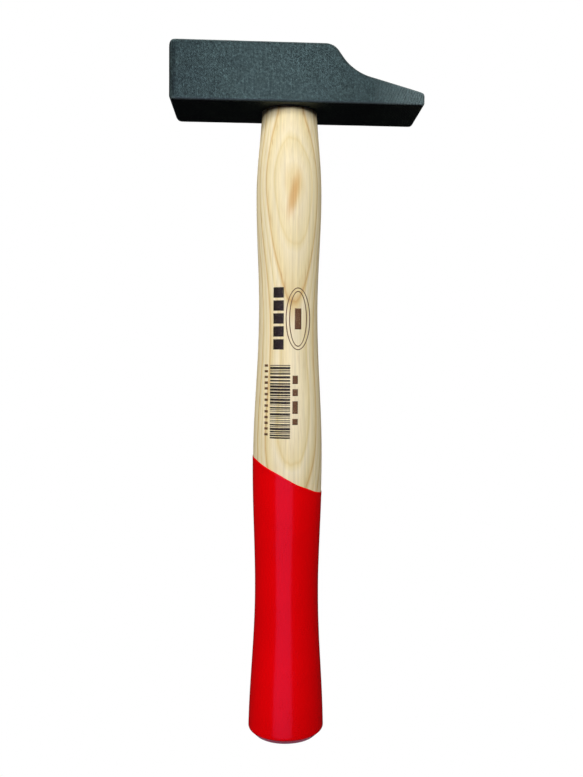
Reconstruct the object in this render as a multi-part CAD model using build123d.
from build123d import *
import math
import os

# French-pattern joiner's hammer. Millimetres. The origin is the centre of the butt's flat
# bottom, +Z runs up the handle, and +X points from the striking face towards the pein.

overall_length = 300.0  # butt to the top of the head

# Head: forged from square bar, with a flat pein flush with the underside
bar = 25.0
underside = overall_length - bar
face_reach = 51.0  # handle's axis to the striking face
pein_reach = 57.0  # handle's axis to the pein's nose
shoulder_reach = 18.1  # where the top would meet the steep slope behind the eye
shoulder_round = 7.0
steep_slope = 54.0  # degrees below level
hollow_round = 21.0  # between the steep slope and the pein's long slope
pein_slope = 15.5
nose_height = 5.1
nose_round = 1.4
face_round = 1.6
long_edge_round = 0.8
eye_lead_in = 0.5

# Handle: height above the butt, full width along X and full depth along Y where the outline
# swells or narrows most. Between two of them the outline is half a wave.
handle_sizes = [
    (-5.0, 33.4, 26.6),  # the flare's full size, just past the end of the butt
    (66.0, 27.9, 22.3),  # neck above the butt
    (121.0, 30.6, 23.5),  # swell for the hand
    (190.0, 25.9, 19.7),  # waist
    (238.5, 28.6, 20.6),  # belly under the head
    (284.0, 23.6, 16.9),  # throat of the eye
    (308.0, 26.4, 19.2),  # the eye opens upwards, and the wedges spread the tenon to fill it
]
section_spacing = 9.0
butt_chamfer = 3.2
butt_edge_round = 0.9
tenon_recess = 0.4  # the tenon's end lies this far below the top of the head

# Wedges, driven from the top
wood_wedge_thickness = 3.4
wood_wedge_tip = 0.9
wood_wedge_depth = 21.0
steel_wedge_width = 14.0
steel_wedge_thickness = 2.4
steel_wedge_tip = 0.5
steel_wedge_depth = 13.0
steel_wedge_turn = 55.0  # degrees from the wooden wedge, about the handle's axis
steel_wedge_barbs = 4
barb_height = 0.25

# Dip coat on the grip. The handle was tilted when it was dipped, so the coat's edge slopes.
coat = 0.2
coat_edge_height = 116.9
coat_edge_fall_x = 0.52  # how far the edge falls for each millimetre towards the pein
coat_edge_rise_y = 0.11


def handle_size(height):
    """Full width and depth of the bare handle at a height."""
    for below, above in zip(handle_sizes, handle_sizes[1:]):
        if height <= above[0]:
            share = (height - below[0]) / (above[0] - below[0])
            blend = (1 - math.cos(math.pi * share)) / 2
            width = below[1] + (above[1] - below[1]) * blend
            depth = below[2] + (above[2] - below[2]) * blend
            return width, depth
    raise ValueError("the height is past the end of the handle")


def handle_section(height, grow=0.0):
    """The handle's oval at a height, grown by a coat's thickness."""
    width, depth = handle_size(height)
    return Plane.XY.offset(height) * Ellipse(width / 2 + grow, depth / 2 + grow)


def handle_length(bottom, top, grow=0.0):
    """A stretch of the handle, lofted through its ovals."""
    steps = math.ceil((top - bottom) / section_spacing)
    heights = [bottom + (top - bottom) * step / steps for step in range(steps + 1)]
    return loft([handle_section(height, grow) for height in heights])


def butt_end(bottom, grow=0.0):
    """The chamfered end of the butt, standing on its flat oval bottom."""
    rim = bottom + butt_chamfer
    width, depth = handle_size(rim)
    flat = Ellipse(width / 2 + grow - butt_chamfer, depth / 2 + grow - butt_chamfer)
    return loft([Plane.XY.offset(bottom) * flat, handle_section(rim, grow)], ruled=True)


def grip(bottom, grow=0.0):
    """The handle below the head, with its chamfered butt."""
    body = butt_end(bottom, grow) + handle_length(bottom + butt_chamfer, underside, grow)
    butt_edges = body.edges().filter_by_position(Axis.Z, bottom - 0.1, bottom + butt_chamfer + 0.1)
    return fillet(butt_edges, butt_edge_round)


def eye_core():
    """What fills the eye: an hourglass oval, narrowest a little above the underside."""
    return handle_length(underside, overall_length)


def head_block():
    """The head's outline, seen from the side, given its full thickness."""
    steep_run = math.tan(math.radians(steep_slope))
    pein_run = math.tan(math.radians(pein_slope))
    nose_top = underside + nose_height
    # The steep slope meets the pein's long slope here.
    drop = overall_length - nose_top
    hollow_x = (drop + shoulder_reach * steep_run - pein_reach * pein_run) / (steep_run - pein_run)
    hollow_z = nose_top + (pein_reach - hollow_x) * pein_run
    corners = [
        (-face_reach, underside),
        (pein_reach, underside),
        (pein_reach, nose_top),
        (hollow_x, hollow_z),
        (shoulder_reach, overall_length),
        (-face_reach, overall_length),
    ]
    rounds = [0, nose_round, nose_round, hollow_round, shoulder_round, 0]
    outline = FilletPolyline(*corners, radius=rounds, close=True)
    side = Plane.XZ * make_face(outline)
    return extrude(side, bar / 2, both=True)


def hammer_head():
    """The forged head with its eased edges and its open eye."""
    head = head_block()
    cheeks = head.faces().sort_by(Axis.Y)
    cheek_edges = cheeks[0].edges() + cheeks[-1].edges()
    long_edges = [edge for edge in cheek_edges if edge.center().X > -face_reach + face_round]
    head = fillet(long_edges, long_edge_round)
    striking_face = head.faces().sort_by(Axis.X)[0]
    head = fillet(striking_face.edges(), face_round)
    head -= eye_core()
    eye_mouth = head.faces().sort_by(Axis.Z)[-1].inner_wires()[0]
    return chamfer(eye_mouth.edges(), eye_lead_in)


def wedge_blank(width, thickness, tip, depth, barbs=0):
    """A wedge standing point down under the top of the tenon, across the Y axis, with barbs."""
    top = overall_length - tenon_recess
    side = [(tip / 2, top - depth)]
    for barb in range(1, barbs + 1):
        share = barb / (barbs + 1)
        height = top - depth * (1 - share)
        half = (tip + (thickness - tip) * share) / 2
        side.append((half + barb_height, height))
        side.append((half, height + barb_height))
    side.append((thickness / 2, top))
    outline = side + [(-x, z) for x, z in reversed(side)]
    return extrude(Plane.YZ * make_face(Polyline(*outline, close=True)), width / 2, both=True)


def steel_wedge():
    """The barbed steel wedge, turned across the wooden one."""
    blank = wedge_blank(
        steel_wedge_width, steel_wedge_thickness, steel_wedge_tip, steel_wedge_depth, steel_wedge_barbs
    )
    return Rot(0, 0, steel_wedge_turn) * blank


def wood_wedge(steel):
    """The hardwood wedge, trimmed to the eye and split open at its top by the steel one."""
    blank = wedge_blank(bar * 1.2, wood_wedge_thickness, wood_wedge_tip, wood_wedge_depth)
    return (blank & eye_core()) - steel


def handle(wood, steel):
    """The ash handle, from its butt to the end of its tenon, with the wedges' slots."""
    spare = Plane.XY.offset(overall_length) * Box(bar * 2, bar * 2, 2 * tenon_recess)
    return grip(coat) + (eye_core() - spare) - wood - steel


def grip_lacquer(wooden_handle):
    """The dip coat: the handle grown by the coat's thickness, below the sloping edge."""
    slope = Vector(coat_edge_fall_x, -coat_edge_rise_y, 1.0)
    edge_plane = Plane(origin=(0, 0, coat_edge_height), z_dir=slope)
    dipped = split(grip(0.0, coat), bisect_by=edge_plane, keep=Keep.BOTTOM)
    return dipped - wooden_handle


steel = steel_wedge()
wood = wood_wedge(steel)
wooden_handle = handle(wood, steel)
parts = {
    "hammer_head": hammer_head(),
    "handle": wooden_handle,
    "wood_wedge": wood,
    "steel_wedge": steel,
    "grip_lacquer": grip_lacquer(wooden_handle),
}

os.makedirs("parts", exist_ok=True)
for name, shape in parts.items():
    export_step(shape, f"parts/{name}.step")
